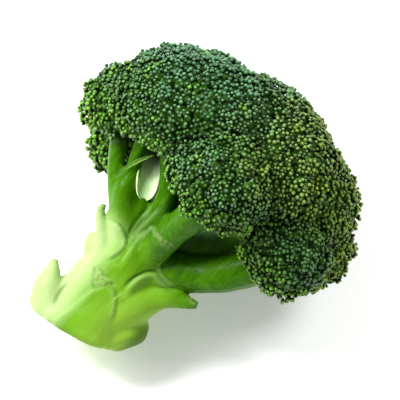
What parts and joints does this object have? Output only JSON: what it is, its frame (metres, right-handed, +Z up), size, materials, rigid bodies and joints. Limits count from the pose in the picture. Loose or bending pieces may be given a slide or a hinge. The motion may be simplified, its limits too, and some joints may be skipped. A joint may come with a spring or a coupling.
{
  "type": "broccoli head",
  "caption": "Head of broccoli cut with its thick stalk, lying on its side: a domed crown of bud clusters on branching stems.",
  "frame": {"origin": "on the surface that the head lies on, under the middle of its box", "axes": "+X along the surface from the cut end of the stalk to the crown, +Y across, +Z up"},
  "size_m": [0.1602, 0.149, 0.1367],
  "materials": {
    "stalk": "satin, waxy skin, paler at the cut end",
    "stems": "satin, waxy skin",
    "flower_buds": "matt, with a faint bluish bloom",
    "leaf_bases": "satin, waxy skin, torn edges"
  },
  "bodies": {
    "root": {"main_stalk": "stalk", "stem_front": "stems", "floret_front": "flower_buds", "stem_front_right": "stems", "floret_front_right": "flower_buds", "stem_right": "stems", "floret_right": "flower_buds", "stem_back_right": "stems", "floret_back_right": "flower_buds", "stem_back": "stems", "floret_back": "flower_buds", "stem_back_left": "stems", "floret_back_left": "flower_buds", "stem_left": "stems", "floret_left": "flower_buds", "stem_front_left": "stems", "floret_front_left": "flower_buds", "stem_upper_right": "stems", "floret_upper_right": "flower_buds", "stem_upper_front_right": "stems", "floret_upper_front_right": "flower_buds", "stem_upper_front_left": "stems", "floret_upper_front_left": "flower_buds", "stem_upper_left": "stems", "floret_upper_left": "flower_buds", "stem_upper_back_left": "stems", "floret_upper_back_left": "flower_buds", "stem_upper_back_right": "stems", "floret_upper_back_right": "flower_buds", "stem_top": "stems", "floret_top": "flower_buds", "inner_leaf_stalk": "leaf_bases", "leaf_base_right_stub": "leaf_bases", "leaf_base_pointed_stub": "leaf_bases", "leaf_base_round_stub": "leaf_bases", "leaf_base_low_lobe": "leaf_bases", "leaf_base_torn_flap": "leaf_bases"}
  },
  "joints": []
}
